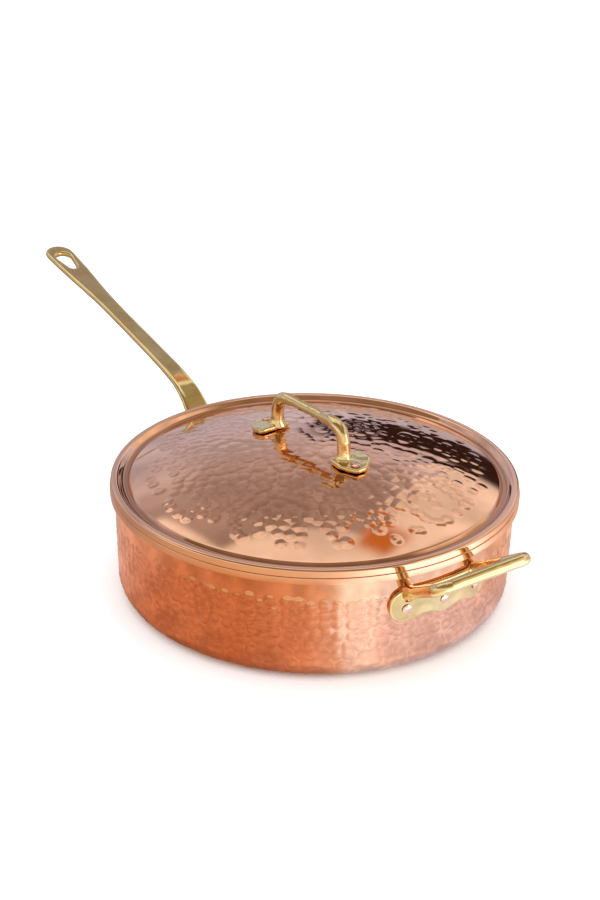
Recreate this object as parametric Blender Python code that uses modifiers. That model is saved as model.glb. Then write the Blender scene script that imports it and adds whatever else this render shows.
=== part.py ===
"""Covered saute pan of hammered copper with cast brass handles.

Metres, +Z up. The origin is the centre of the flat base that the pan stands on, and +X runs
along the long handle. The helper handle is on the -X side, and the lid sits turned a few
degrees on the rim. Sizes below are in millimetres and degrees.
"""
import math

import bmesh
import bpy
from mathutils import Matrix, Vector

MM = 0.001
MERGE_DISTANCE = 0.000005
FLAT_ANGLE = 0.01           # facets closer to flat than this, in radians, are joined
GAP = 0.3                   # clearance between pieces that touch
SEGMENTS = 64               # facets round every large turned piece
ARC_STEP = 46.0             # largest turn of one facet along a rounded profile
OUTLINE_STEP = 20.0         # the same along the rounded outline of a flat casting
BEND_STEP = 6.0             # length of the facets of a flange bent round the wall
EDGE_FACETS = 1             # facets added to each rounded edge of a flat casting
BAR_FACETS = 4              # facets added to each quarter of a round bar
LEG_FACETS = 6              # facets along each straight length of a round bar
SHARP_ANGLE = 40.0          # edges turning more than this are shaded sharp

# Pan body
WALL_RADIUS = 140.0         # outside of the wall, just under the rim
WALL_TAPER = 0.02           # radius lost per unit of depth below the rim
BASE_CORNER = 13.0          # outside radius between base and wall
RIM_WIDTH = 3.5             # of the rim, outside the wall
RIM_UNDERSIDE = 73.3        # height of the rim's lower edge
RIM_HEIGHT = 5.1
RIM_ROUNDING = 0.6
PAN_SHEET = 2.0             # copper thickness
LINING_SHEET = 0.5          # tin lining, in the pan and in the lid

# Lid
LID_RIM_INSET = 0.7         # from the rim's outside to the lid's turned-down edge
LID_EDGE_HEIGHT = 5.3       # from the rim up to the top of the edge bead
LID_BEAD_WIDTH = 4.8        # flat width of the bead before its corners are rounded
LID_TROUGH_DEPTH = 4.2      # trough below the bead
LID_TROUGH_INSET = 11.6     # from the lid's outside to the foot of the dome
LID_TROUGH_WIDTH = 3.6
LID_DOME_INSET = 13.6       # from the lid's outside to the edge of the dome
LID_DOME_SHOULDER = 1.9     # edge of the dome below the bead
LID_DOME_RISE = 22.8
LID_SHEET = 1.2
LID_SHOULDER_ROUNDING = 2.2     # outside radii from the dome out to the bead
LID_TROUGH_INNER_ROUNDING = 1.2
LID_TROUGH_OUTER_ROUNDING = 3.4
LID_BEAD_INNER_ROUNDING = 2.6
LID_BEAD_OUTER_ROUNDING = 2.8
LID_TURN = 2.5              # how far the lid is turned on the rim
LID_LINING_INSET = 5.2      # from the edge of the dome to the edge of its lining
DOME_STEPS = 5              # facets from the middle of the dome to its edge

# Riveted flange that both handles share
FLANGE_PITCH = 28.7         # between its three rivets
FLANGE_DROP = 8.8           # top edge below the rim's underside
FLANGE_HEIGHT = 24.0
FLANGE_RIVET_DROP = 14.3    # rivets below the flange's top edge
FLANGE_END = 29.0           # centre of the rounded end, from the flange's middle
FLANGE_SCALLOP = 2.6        # depth of the waists between the lower lobes
FLANGE_THICKNESS = 3.0
FLANGE_ROUNDING = 0.8
LOBE_FACETS = 8             # from one lobe of the lower edge to the next

# Long handle: a strap whose slope eases from the root angle to the grip angle
HANDLE_LENGTH = 260.0       # along the strap, from wall to tip
HANDLE_ROOT_DROP = 2.4      # top face below the flange's top edge, where it meets the flange
HANDLE_ROOT_ANGLE = 60.0
HANDLE_GRIP_ANGLE = 13.8
HANDLE_BEND_LENGTH = 36.6
HANDLE_ROOT_WIDTH = 27.0
HANDLE_NECK_WIDTH = 14.6
HANDLE_END_WIDTH = 23.6
HANDLE_ROOT_EASE = 28.0     # over which the root narrows to the neck
HANDLE_ROOT_INSET = 8.0     # how far the strap runs on into the flange before it is trimmed
HANDLE_END_START = 110.0    # from the tip back to where the neck begins to widen
HANDLE_THICKNESS = 5.0
HANDLE_ROUNDING = 1.7
STRAP_STATION = 11.0        # length of the strap's facets
STRAP_STEPS = 200           # steps that follow the bend from the wall to a place on the strap
HOLE_OUTER_RADIUS = 6.2     # hanging hole: the round end near the tip
HOLE_INNER_RADIUS = 3.4
HOLE_OUTER_SETBACK = 19.1   # centre of that end, from the tip
HOLE_LENGTH = 25.5          # of the whole hole

# Helper handle: a round loop rising from the top corners of its flange
LOOP_ROOT_DROP = 4.5        # centre line below the flange's top edge
LOOP_ROOT_HALF = 27.0
LOOP_OUTER_HALF = 37.8      # to the bar's centre line
LOOP_REACH = 49.3
LOOP_TILT = 31.5
LOOP_CORNER = 7.5
LOOP_BAR = 8.5
LOOP_ROOT_FLARE = 1.3       # extra radius where the loop meets the flange
LOOP_FLARE_LENGTH = 12.0
LOOP_ROOT_INSET = 6.0       # how far the bar runs on into the flange before it is trimmed

# Lid handle: a bridge on two shield-shaped feet, each held by one rivet outside its leg
BRIDGE_SHIFT = (4.3, 2.0)   # the bridge stands this far off the middle of the lid
BRIDGE_SPAN = 73.6          # between the legs' centre lines
BRIDGE_HEIGHT = 26.6        # bar's centre line above the dome at the feet
BRIDGE_CORNER = 12.0
BRIDGE_LEG = 9.4
BRIDGE_BAR = 7.2
BRIDGE_ROOT_FLARE = 2.2
BRIDGE_FLARE_LENGTH = 4.5
BRIDGE_TAPER = 1.25         # how quickly a leg thins into the bar
FOOT_RIVET = 12.5           # rivet, outwards from the leg's centre line
FOOT_INNER = -4.5           # straight edge under the bridge
FOOT_OUTER = 19.0
FOOT_WIDTH = 27.5
FOOT_SKEW = 4.0             # the wide part of each foot stands this far to its right
FOOT_TOE_WIDTH = 9.0
FOOT_TOE_SKEW = 1.0
FOOT_SHOULDER = 8.0         # widest place, outwards from the leg's centre line
FOOT_CORNER = 3.5
FOOT_SHOULDER_CORNER = 6.0
FOOT_THICKNESS = 4.0
FOOT_ROUNDING = 0.9

# Rivets
RIVET_SHANK = 4.4
RIVET_HEAD = 6.6            # visible head
RIVET_HEAD_RISE = 1.2
RIVET_TAIL = 8.4            # head on the lined side
RIVET_TAIL_RISE = 1.5
RIVET_SIDES = 14
RIVET_EDGE = 0.3            # height of a head's straight edge
RIVET_HOLE_REACH = 6.0      # of the drill past both ends of the grip

# Sizes worked out from the ones above
RIM_TOP = RIM_UNDERSIDE + RIM_HEIGHT
RIM_RADIUS = WALL_RADIUS + RIM_WIDTH
FLANGE_TOP = RIM_UNDERSIDE - FLANGE_DROP
FLANGE_BOTTOM = FLANGE_TOP - FLANGE_HEIGHT
FLANGE_RIVET_HEIGHT = FLANGE_TOP - FLANGE_RIVET_DROP
HANDLE_ROOT_HEIGHT = FLANGE_TOP - HANDLE_ROOT_DROP
LOOP_ROOT_HEIGHT = FLANGE_TOP - LOOP_ROOT_DROP
LID_RADIUS = RIM_RADIUS - LID_RIM_INSET
LID_FOOT = RIM_TOP + GAP
BEAD_TOP = LID_FOOT + LID_EDGE_HEIGHT
DOME_EDGE_RADIUS = LID_RADIUS - LID_DOME_INSET
LID_LINING_RADIUS = DOME_EDGE_RADIUS - LID_LINING_INSET
DOME_EDGE_HEIGHT = BEAD_TOP - LID_DOME_SHOULDER
DOME_SPHERE = (DOME_EDGE_RADIUS ** 2 + LID_DOME_RISE ** 2) / (2 * LID_DOME_RISE)
DOME_APEX = DOME_EDGE_HEIGHT + LID_DOME_RISE
WALL_LEAN = math.atan(WALL_TAPER)


def wall_radius(height):
    """Outside radius of the wall at a height above the base."""
    return WALL_RADIUS - WALL_TAPER * (RIM_UNDERSIDE - height)


def dome_height(radius):
    """Height of the dome's outside at a distance from its axis."""
    return DOME_APEX - DOME_SPHERE + math.sqrt(DOME_SPHERE ** 2 - radius ** 2)


def smooth_step(value):
    value = min(max(value, 0.0), 1.0)
    return value * value * (3.0 - 2.0 * value)


# ---- Scene, collections and materials

def new_collection(name):
    collection = bpy.data.collections.new(name)
    bpy.context.scene.collection.children.link(collection)
    return collection


def new_material(name, colour, roughness):
    material = bpy.data.materials.new(name)
    material.use_nodes = True
    shader = material.node_tree.nodes["Principled BSDF"]
    shader.inputs["Base Color"].default_value = (*colour, 1.0)
    shader.inputs["Metallic"].default_value = 1.0
    shader.inputs["Roughness"].default_value = roughness
    return material


def add_object(name, mesh, collection, material=None, parent=None):
    item = bpy.data.objects.new(name, mesh)
    collection.objects.link(item)
    if material:
        mesh.materials.append(material)
    if parent:
        item.parent = parent
    return item


def as_cutter(item):
    item.hide_render = True
    item.display_type = 'WIRE'
    return item


def add_cutter(name, mesh, parent):
    return as_cutter(add_object(name, mesh, CUTTERS, parent=parent))


def boolean(item, tool, operation):
    modifier = item.modifiers.new(f"{operation.lower()}_{tool.name}", 'BOOLEAN')
    modifier.operation = operation
    modifier.object = tool


def evaluated_mesh(item):
    graph = bpy.context.evaluated_depsgraph_get()
    return bpy.data.meshes.new_from_object(item.evaluated_get(graph))


# ---- Profiles and paths in a plane

def rounded_path(corners):
    """Points (x, y, radius) to a path whose corners are arcs of those radii."""
    points = [Vector(corner[:2]) for corner in corners]
    path = [points[0]]
    for before, here, after, corner in zip(points, points[1:], points[2:], corners[1:]):
        backward = (before - here).normalized()
        forward = (after - here).normalized()
        turn = math.pi - backward.angle(forward)
        setback = corner[2] * math.tan(turn / 2)
        bisector = (backward + forward).normalized()
        centre = here + bisector * (corner[2] / math.cos(turn / 2))
        start = here + backward * setback - centre
        end = here + forward * setback - centre
        steps = max(1, math.ceil(math.degrees(turn) / ARC_STEP))
        sweep = start.angle_signed(end)
        for step in range(steps + 1):
            path.append(centre + Matrix.Rotation(-sweep * step / steps, 2) @ start)
    path.append(points[-1])
    return path


def offset_path(path, distance):
    """The path moved to its left by a distance, with mitred corners."""
    normals = []
    for start, end in zip(path, path[1:]):
        along = (end - start).normalized()
        normals.append(Vector((-along.y, along.x)))
    moved = [path[0] + normals[0] * distance]
    for point, before, after in zip(path[1:], normals, normals[1:]):
        mitre = before + after
        moved.append(point + mitre * (2 * distance / mitre.length_squared))
    moved.append(path[-1] + normals[-1] * distance)
    return moved


def turned(name, profile, collection, material=None, parent=None, segments=SEGMENTS):
    """A solid of revolution about Z from (radius, height) points, outer side downwards."""
    mesh = bpy.data.meshes.new(name)
    points = [(point[0] * MM, 0.0, point[1] * MM) for point in profile]
    mesh.from_pydata(points, [(i, i + 1) for i in range(len(points) - 1)], [])
    item = add_object(name, mesh, collection, material, parent)
    screw = item.modifiers.new("turn", 'SCREW')
    screw.axis = 'Z'
    screw.steps = segments
    screw.render_steps = segments
    screw.use_merge_vertices = True
    screw.merge_threshold = MERGE_DISTANCE
    screw.use_smooth_shade = True
    return item


# ---- Flat slabs bent onto a surface, and round bars

def slab_mesh(outlines, thickness, rounding):
    """Outlines in XY as a slab from Z = 0 to its thickness, with rounded edges."""
    curve = bpy.data.curves.new("outline", 'CURVE')
    curve.dimensions = '2D'
    curve.fill_mode = 'BOTH'
    curve.extrude = (thickness / 2 - rounding) * MM
    curve.bevel_depth = rounding * MM
    curve.bevel_resolution = EDGE_FACETS
    curve.offset = -rounding * MM
    for outline in outlines:
        spline = curve.splines.new('POLY')
        spline.points.add(len(outline) - 1)
        for point, place in zip(spline.points, outline):
            point.co = (place[0] * MM, place[1] * MM, 0.0, 1.0)
        spline.use_cyclic_u = True
    item = bpy.data.objects.new("outline", curve)
    CUTTERS.objects.link(item)
    bpy.context.view_layer.update()
    mesh = evaluated_mesh(item)
    bpy.data.objects.remove(item)
    bpy.data.curves.remove(curve)
    work = bmesh.new()
    work.from_mesh(mesh)
    bmesh.ops.remove_doubles(work, verts=work.verts, dist=MERGE_DISTANCE)
    bmesh.ops.dissolve_limit(work, angle_limit=FLAT_ANGLE, verts=work.verts, edges=work.edges)
    bmesh.ops.translate(work, vec=(0, 0, thickness / 2 * MM), verts=work.verts)
    bmesh.ops.recalc_face_normals(work, faces=work.faces)
    work.to_mesh(mesh)
    work.free()
    return mesh


def bend(mesh, stations, place):
    """Cuts the slab across X at the stations, then moves each point (x, y, z) to its place."""
    work = bmesh.new()
    work.from_mesh(mesh)
    for station in stations:
        geometry = work.verts[:] + work.edges[:] + work.faces[:]
        bmesh.ops.bisect_plane(work, geom=geometry, dist=MERGE_DISTANCE,
                               plane_co=(station * MM, 0, 0), plane_no=(1, 0, 0))
    for vertex in work.verts:
        vertex.co = place(*(vertex.co / MM)) * MM
    bmesh.ops.recalc_face_normals(work, faces=work.faces)
    work.to_mesh(mesh)
    work.free()


def bar_mesh(points, radii):
    """A round bar along points in millimetres, with its own radius at each."""
    curve = bpy.data.curves.new("bar", 'CURVE')
    curve.dimensions = '3D'
    curve.bevel_depth = MM
    curve.bevel_resolution = BAR_FACETS
    curve.use_fill_caps = True
    spline = curve.splines.new('POLY')
    spline.points.add(len(points) - 1)
    for point, place, radius in zip(spline.points, points, radii):
        point.co = (*(place * MM), 1.0)
        point.radius = radius
    item = bpy.data.objects.new("bar", curve)
    CUTTERS.objects.link(item)
    bpy.context.view_layer.update()
    mesh = evaluated_mesh(item)
    bpy.data.objects.remove(item)
    bpy.data.curves.remove(curve)
    work = bmesh.new()
    work.from_mesh(mesh)
    bmesh.ops.remove_doubles(work, verts=work.verts, dist=MERGE_DISTANCE)
    bmesh.ops.recalc_face_normals(work, faces=work.faces)
    work.to_mesh(mesh)
    work.free()
    return mesh


def shade_round(mesh):
    mesh.shade_smooth()
    mesh.set_sharp_from_angle(angle=math.radians(SHARP_ANGLE))


def spread(start, end, step):
    """Evenly spaced values strictly between two ends, no further apart than a step."""
    count = math.ceil((end - start) / step)
    return [start + (end - start) * i / count for i in range(1, count)]


def even_points(start, end, count):
    """Points at even steps from one end of a line up to, not including, the other."""
    return [start.lerp(end, i / count) for i in range(count)]


def arc_points(centre, radius, start, end):
    steps = math.ceil((end - start) / OUTLINE_STEP)
    angles = [math.radians(start + (end - start) * i / steps) for i in range(steps + 1)]
    return [(centre[0] + radius * math.cos(a), centre[1] + radius * math.sin(a)) for a in angles]


# ---- Pan body and its lining

def pan_wall_path():
    """Outside of the wall from under the rim down to the middle of the base."""
    return rounded_path([
        (wall_radius(RIM_UNDERSIDE), RIM_UNDERSIDE, 0),
        (wall_radius(0), 0, BASE_CORNER),
        (0, 0, 0)])


def build_pan():
    outside = pan_wall_path()
    inside = offset_path(outside, -PAN_SHEET)
    inside[-1].x = 0
    rim = rounded_path([
        (inside[0].x, inside[0].y, 0),
        (inside[0].x, RIM_TOP, RIM_ROUNDING),
        (RIM_RADIUS, RIM_TOP, RIM_ROUNDING),
        (RIM_RADIUS, RIM_UNDERSIDE, RIM_ROUNDING / 2),
        (outside[0].x, RIM_UNDERSIDE, 0)])
    shell = turned("pan_shell", inside[:0:-1] + rim + outside[1:], PAN, COPPER, PAN_FRAME)

    lining_outside = offset_path(outside, -PAN_SHEET - GAP)
    lining_inside = offset_path(outside, -PAN_SHEET - GAP - LINING_SHEET)
    for path in (lining_outside, lining_inside):
        path[0].y = RIM_TOP - RIM_ROUNDING
        path[-1].x = 0
    lining = turned("pan_lining", lining_inside[::-1] + lining_outside, PAN, TIN, PAN_FRAME)
    return shell, lining


# ---- Lid and its lining

def dome_path(count):
    """Points on the dome's outside from its middle, at even steps of radius."""
    radii = [DOME_EDGE_RADIUS * step / DOME_STEPS for step in range(count)]
    return [Vector((radius, dome_height(radius))) for radius in radii]


def lid_path():
    """Outside of the lid from the middle of the dome to the foot of its edge."""
    dome = dome_path(DOME_STEPS)
    trough = BEAD_TOP - LID_TROUGH_DEPTH
    trough_inner = LID_RADIUS - LID_TROUGH_INSET
    trough_outer = trough_inner + LID_TROUGH_WIDTH
    edge = rounded_path([
        (*dome[-1], 0),
        (DOME_EDGE_RADIUS, DOME_EDGE_HEIGHT, LID_SHOULDER_ROUNDING),
        (trough_inner, trough, LID_TROUGH_INNER_ROUNDING),
        (trough_outer, trough, LID_TROUGH_OUTER_ROUNDING),
        (LID_RADIUS - LID_BEAD_WIDTH, BEAD_TOP, LID_BEAD_INNER_ROUNDING),
        (LID_RADIUS, BEAD_TOP, LID_BEAD_OUTER_ROUNDING),
        (LID_RADIUS, LID_FOOT, 0)])
    return dome + edge[1:]


def build_lid():
    outside = lid_path()
    inside = offset_path(outside, -LID_SHEET)
    inside[0].x = 0
    shell = turned("lid_shell", outside + inside[::-1], PAN, COPPER, LID_FRAME)

    edge = Vector((LID_LINING_RADIUS, dome_height(LID_LINING_RADIUS)))
    lined = dome_path(DOME_STEPS) + [edge]
    lining_top = offset_path(lined, -LID_SHEET - GAP)
    lining_under = offset_path(lined, -LID_SHEET - GAP - LINING_SHEET)
    for path in (lining_top, lining_under):
        path[0].x = 0
    lining = turned("lid_lining", lining_top + lining_under[::-1], PAN, TIN, LID_FRAME)
    return shell, lining


# ---- Handles riveted to the wall

def flange_outline():
    """Rounded ends, straight top and a scalloped lower edge with a lobe under each rivet."""
    radius = FLANGE_HEIGHT / 2
    middle = FLANGE_BOTTOM + radius
    points = arc_points((-FLANGE_END, middle), radius, 90, 270)
    for x in spread(-FLANGE_END, FLANGE_END, FLANGE_PITCH / LOBE_FACETS):
        lobe = (1 - math.cos(2 * math.pi * x / FLANGE_PITCH)) / 2
        points.append((x, FLANGE_BOTTOM + FLANGE_SCALLOP * lobe))
    return points + arc_points((FLANGE_END, middle), radius, -90, 90)


def on_wall(azimuth):
    """Places (along the wall, height, outwards) on the outside of the wall at an azimuth."""
    def place(along, height, outwards):
        angle = azimuth + along / WALL_RADIUS
        radius = wall_radius(height) + GAP + outwards
        return Vector((radius * math.cos(angle), radius * math.sin(angle), height))
    return place


def flange_mesh(azimuth):
    mesh = slab_mesh([flange_outline()], FLANGE_THICKNESS, FLANGE_ROUNDING)
    reach = FLANGE_END + FLANGE_HEIGHT / 2
    bend(mesh, spread(-reach, reach, BEND_STEP), on_wall(azimuth))
    return mesh


def wall_trim():
    """A solid that stops a handle's root halfway through its flange."""
    depth = GAP + FLANGE_THICKNESS / 2
    top = RIM_UNDERSIDE
    profile = [(0, top), (wall_radius(top) + depth, top), (wall_radius(0) + depth, 0), (0, 0)]
    return as_cutter(turned("wall_trim", profile, CUTTERS, parent=PAN_FRAME))


def strap_top(length):
    """Distance from the axis and height of the strap's top face, and its slope there."""
    root, grip = math.radians(HANDLE_ROOT_ANGLE), math.radians(HANDLE_GRIP_ANGLE)
    radius = WALL_RADIUS + GAP + FLANGE_THICKNESS / 2
    height = HANDLE_ROOT_HEIGHT
    slope = root
    step = length / STRAP_STEPS
    for index in range(STRAP_STEPS):
        travelled = max((index + 0.5) * step, 0.0)
        slope = grip + (root - grip) * math.exp(-(travelled / HANDLE_BEND_LENGTH) ** 2)
        radius += step * math.cos(slope)
        height += step * math.sin(slope)
    return radius, height, slope


def strap_half_width(length):
    neck = HANDLE_NECK_WIDTH / 2
    root = (HANDLE_ROOT_WIDTH / 2 - neck) * math.exp(-max(length, 0) / HANDLE_ROOT_EASE)
    start = HANDLE_LENGTH - HANDLE_END_START
    widening = smooth_step((length - start) / (HANDLE_LENGTH - HANDLE_END_WIDTH / 2 - start))
    return neck + root + (HANDLE_END_WIDTH / 2 - neck) * widening


def strap_outline():
    end_radius = HANDLE_END_WIDTH / 2
    end_centre = HANDLE_LENGTH - end_radius
    lengths = [-HANDLE_ROOT_INSET] + spread(-HANDLE_ROOT_INSET, end_centre, STRAP_STATION)
    side = [(length, strap_half_width(length)) for length in lengths]
    tip = arc_points((end_centre, 0), end_radius, -90, 90)
    return [(x, -y) for x, y in side] + tip + side[::-1]


def hole_outline():
    """A teardrop: two round ends of unlike radius joined by straight sides."""
    outer = (HANDLE_LENGTH - HOLE_OUTER_SETBACK, 0)
    distance = HOLE_LENGTH - HOLE_OUTER_RADIUS - HOLE_INNER_RADIUS
    inner = (outer[0] - distance, 0)
    side = math.degrees(math.acos((HOLE_INNER_RADIUS - HOLE_OUTER_RADIUS) / distance))
    wide = arc_points(outer, HOLE_OUTER_RADIUS, -side, side)
    narrow = arc_points(inner, HOLE_INNER_RADIUS, side, 360 - side)
    return wide + narrow


def on_strap(x, y, z):
    radius, height, slope = strap_top(x)
    lift = z - HANDLE_THICKNESS
    return Vector((radius - lift * math.sin(slope), y, height + lift * math.cos(slope)))


def build_long_handle(trim):
    mesh = slab_mesh([strap_outline(), hole_outline()], HANDLE_THICKNESS, HANDLE_ROUNDING)
    bend(mesh, spread(-HANDLE_ROOT_INSET, HANDLE_LENGTH, STRAP_STATION), on_strap)
    shade_round(mesh)
    handle = add_object("long_handle", mesh, PAN, BRASS, PAN_FRAME)
    boolean(handle, trim, 'DIFFERENCE')
    flange = add_cutter("long_handle_flange", flange_mesh(0.0), PAN_FRAME)
    boolean(handle, flange, 'UNION')
    return handle


def loop_points():
    """Centre line of the helper loop, from one root round to the other, and its radii."""
    tilt = math.radians(LOOP_TILT)
    root = math.sqrt(WALL_RADIUS ** 2 - LOOP_ROOT_HALF ** 2)
    loop = rounded_path([
        (-LOOP_ROOT_HALF, -LOOP_ROOT_INSET, 0),
        (-LOOP_OUTER_HALF, LOOP_REACH, LOOP_CORNER),
        (LOOP_OUTER_HALF, LOOP_REACH, LOOP_CORNER),
        (LOOP_ROOT_HALF, -LOOP_ROOT_INSET, 0)])
    path = (even_points(loop[0], loop[1], LEG_FACETS) + loop[1:-2]
            + even_points(loop[-2], loop[-1], LEG_FACETS) + [loop[-1]])
    points, radii = [], []
    for across, outwards in path:
        points.append(Vector((-root - outwards * math.cos(tilt), across,
                              LOOP_ROOT_HEIGHT + outwards * math.sin(tilt))))
        flare_share = 1 - smooth_step(outwards / LOOP_FLARE_LENGTH)
        radii.append(LOOP_BAR / 2 + LOOP_ROOT_FLARE * flare_share)
    return points, radii


def build_helper_handle(trim):
    mesh = bar_mesh(*loop_points())
    shade_round(mesh)
    handle = add_object("helper_handle", mesh, PAN, BRASS, PAN_FRAME)
    boolean(handle, trim, 'DIFFERENCE')
    flange = add_cutter("helper_handle_flange", flange_mesh(math.pi), PAN_FRAME)
    boolean(handle, flange, 'UNION')
    return handle


# ---- Lid handle

def foot_outline():
    """A shield: straight under the bridge, widest past the leg, narrowing to a round toe."""
    half, toe = FOOT_WIDTH / 2, FOOT_TOE_WIDTH / 2
    near, far = FOOT_SKEW - half, FOOT_SKEW + half
    middle = (FOOT_INNER, FOOT_SKEW, 0)
    return rounded_path([
        middle,
        (FOOT_INNER, near, FOOT_CORNER),
        (FOOT_SHOULDER, near, FOOT_SHOULDER_CORNER),
        (FOOT_OUTER, FOOT_TOE_SKEW - toe, toe),
        (FOOT_OUTER, FOOT_TOE_SKEW + toe, toe),
        (FOOT_SHOULDER, far, FOOT_SHOULDER_CORNER),
        (FOOT_INNER, far, FOOT_CORNER),
        middle])[:-1]


def leg_place(side):
    """Where a leg stands on the lid, and the height of the dome there."""
    x = BRIDGE_SHIFT[0] + side * BRIDGE_SPAN / 2
    y = BRIDGE_SHIFT[1]
    return Vector((x, y, dome_height(math.hypot(x, y))))


def foot_frame(side):
    """Frame on the dome under a leg: Z leaves the dome, X runs outwards along the bridge."""
    place = leg_place(side)
    centre = Vector((0, 0, DOME_APEX - DOME_SPHERE))
    upright = Vector((0, 0, 1)).rotation_difference(place - centre).to_matrix().to_4x4()
    facing = Matrix.Rotation(0 if side > 0 else math.pi, 4, 'Z')
    return Matrix.Translation(place * MM) @ upright @ facing


def bridge_points():
    """Centre line of the legs and bar, and the radius at each point."""
    half = BRIDGE_SPAN / 2
    feet = [leg_place(side).z + GAP + FOOT_THICKNESS / 2 for side in (-1, 1)]
    top = (feet[0] + feet[1]) / 2 - GAP - FOOT_THICKNESS / 2 + BRIDGE_HEIGHT
    elbows = rounded_path([
        (-half, feet[0], 0), (-half, top, BRIDGE_CORNER),
        (half, top, BRIDGE_CORNER), (half, feet[1], 0)])
    middle = len(elbows) // 2
    path = (even_points(elbows[0], elbows[1], LEG_FACETS) + elbows[1:middle - 1]
            + even_points(elbows[middle - 1], elbows[middle], LEG_FACETS) + elbows[middle:-2]
            + even_points(elbows[-2], elbows[-1], LEG_FACETS) + [elbows[-1]])
    points, radii = [], []
    for along, height in path:
        points.append(Vector((BRIDGE_SHIFT[0] + along, BRIDGE_SHIFT[1], height)))
        rise = height - min(feet)
        flare_share = 1 - smooth_step(rise / (BRIDGE_FLARE_LENGTH + FOOT_THICKNESS / 2))
        bar_share = smooth_step(BRIDGE_TAPER * (1 - abs(along) / half))
        radius = BRIDGE_LEG / 2 + (BRIDGE_BAR - BRIDGE_LEG) / 2 * bar_share
        radii.append(radius + BRIDGE_ROOT_FLARE * flare_share)
    return points, radii


def build_lid_handle():
    mesh = bar_mesh(*bridge_points())
    shade_round(mesh)
    handle = add_object("lid_handle", mesh, PAN, BRASS, LID_FRAME)
    for name, side in (("front", 1), ("rear", -1)):
        foot = slab_mesh([foot_outline()], FOOT_THICKNESS, FOOT_ROUNDING)
        foot.transform(foot_frame(side) @ Matrix.Translation((0, 0, GAP * MM)))
        boolean(handle, add_cutter(f"lid_handle_foot_{name}", foot, LID_FRAME), 'UNION')
    return handle


# ---- Rivets, and the holes they pass through

def rivet_profile(grip_top, grip_bottom):
    """A domed head above the grip, a shank, and a flatter domed tail below it."""
    def dome(radius, rise):
        sphere = (radius ** 2 + rise ** 2) / (2 * rise)
        for across in (0, radius / 2, radius):
            yield across, math.sqrt(sphere ** 2 - across ** 2) - sphere + rise
    head_edge = grip_top + RIVET_EDGE
    tail_edge = grip_bottom - RIVET_EDGE
    head = [(x, head_edge + y) for x, y in dome(RIVET_HEAD / 2, RIVET_HEAD_RISE - RIVET_EDGE)]
    tail = [(x, tail_edge - y) for x, y in dome(RIVET_TAIL / 2, RIVET_TAIL_RISE - RIVET_EDGE)]
    shank = RIVET_SHANK / 2
    middle = [(RIVET_HEAD / 2, grip_top), (shank, grip_top), (shank, grip_bottom),
              (RIVET_TAIL / 2, grip_bottom)]
    return head + middle + tail[::-1]


def add_rivet(name, frame, grip_top, grip_bottom, parent):
    """The rivet, and the cutter for its hole, standing on a frame whose Z leaves the sheet."""
    rivet = turned(name, rivet_profile(grip_top, grip_bottom), PAN, RIVET_COPPER, parent, RIVET_SIDES)
    rivet.matrix_local = frame
    mesh = bpy.data.meshes.new(f"{name}_hole")
    work = bmesh.new()
    radius = (RIVET_SHANK / 2 + GAP) * MM
    depth = (grip_top - grip_bottom + 2 * RIVET_HOLE_REACH) * MM
    bmesh.ops.create_cone(work, cap_ends=True, segments=RIVET_SIDES, radius1=radius,
                          radius2=radius, depth=depth)
    middle = Matrix.Translation((0, 0, (grip_top + grip_bottom) / 2 * MM))
    bmesh.ops.transform(work, matrix=middle, verts=work.verts)
    work.to_mesh(mesh)
    work.free()
    hole = add_cutter(f"{name}_hole", mesh, parent)
    hole.matrix_local = frame
    return hole


def wall_rivets(prefix, azimuth, pieces):
    """Three rivets through a flange, the wall and the lining."""
    sag = (RIVET_TAIL / 2) ** 2 / (2 * WALL_RADIUS)
    grip_top = GAP + FLANGE_THICKNESS + GAP
    grip_bottom = -PAN_SHEET - GAP - LINING_SHEET - GAP - sag
    for index in (-1, 0, 1):
        angle = azimuth + index * FLANGE_PITCH / WALL_RADIUS
        radius = wall_radius(FLANGE_RIVET_HEIGHT) * MM
        place = Vector((radius * math.cos(angle), radius * math.sin(angle), FLANGE_RIVET_HEIGHT * MM))
        outwards = Matrix.Rotation(math.pi / 2 + WALL_LEAN, 4, 'Y')
        frame = Matrix.Translation(place) @ Matrix.Rotation(angle, 4, 'Z') @ outwards
        hole = add_rivet(f"{prefix}_rivet_{index + 2}", frame, grip_top, grip_bottom, PAN_FRAME)
        for piece in pieces:
            boolean(piece, hole, 'DIFFERENCE')


def lid_rivets(pieces):
    """One rivet through each foot of the lid handle, the lid and its lining."""
    sag = (FOOT_RIVET + RIVET_TAIL / 2) ** 2 / (2 * DOME_SPHERE)
    grip_top = GAP + FOOT_THICKNESS + GAP
    grip_bottom = -LID_SHEET - GAP - LINING_SHEET - GAP - sag
    shift = Matrix.Translation((FOOT_RIVET * MM, 0, 0))
    for number, side in ((1, 1), (2, -1)):
        frame = foot_frame(side) @ shift
        hole = add_rivet(f"lid_rivet_{number}", frame, grip_top, grip_bottom, LID_FRAME)
        for piece in pieces:
            boolean(piece, hole, 'DIFFERENCE')


# ---- The whole pan

def add_frame(name, turn):
    """An empty on the pan's axis that its pieces are placed from."""
    frame = bpy.data.objects.new(name, None)
    PAN.objects.link(frame)
    frame.rotation_euler = (0, 0, math.radians(turn))
    return frame


for item in list(bpy.data.objects):
    bpy.data.objects.remove(item)
PAN = new_collection("covered_copper_pan")
CUTTERS = new_collection("cutters")
COPPER = new_material("hammered_copper", (0.78, 0.36, 0.22), 0.16)
TIN = new_material("tin_lining", (0.72, 0.72, 0.70), 0.35)
BRASS = new_material("cast_brass", (0.80, 0.61, 0.31), 0.22)
RIVET_COPPER = new_material("rivet_copper", (0.83, 0.47, 0.34), 0.25)
PAN_FRAME = add_frame("pan_frame", 0)
LID_FRAME = add_frame("lid_lift_axis", LID_TURN)

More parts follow.
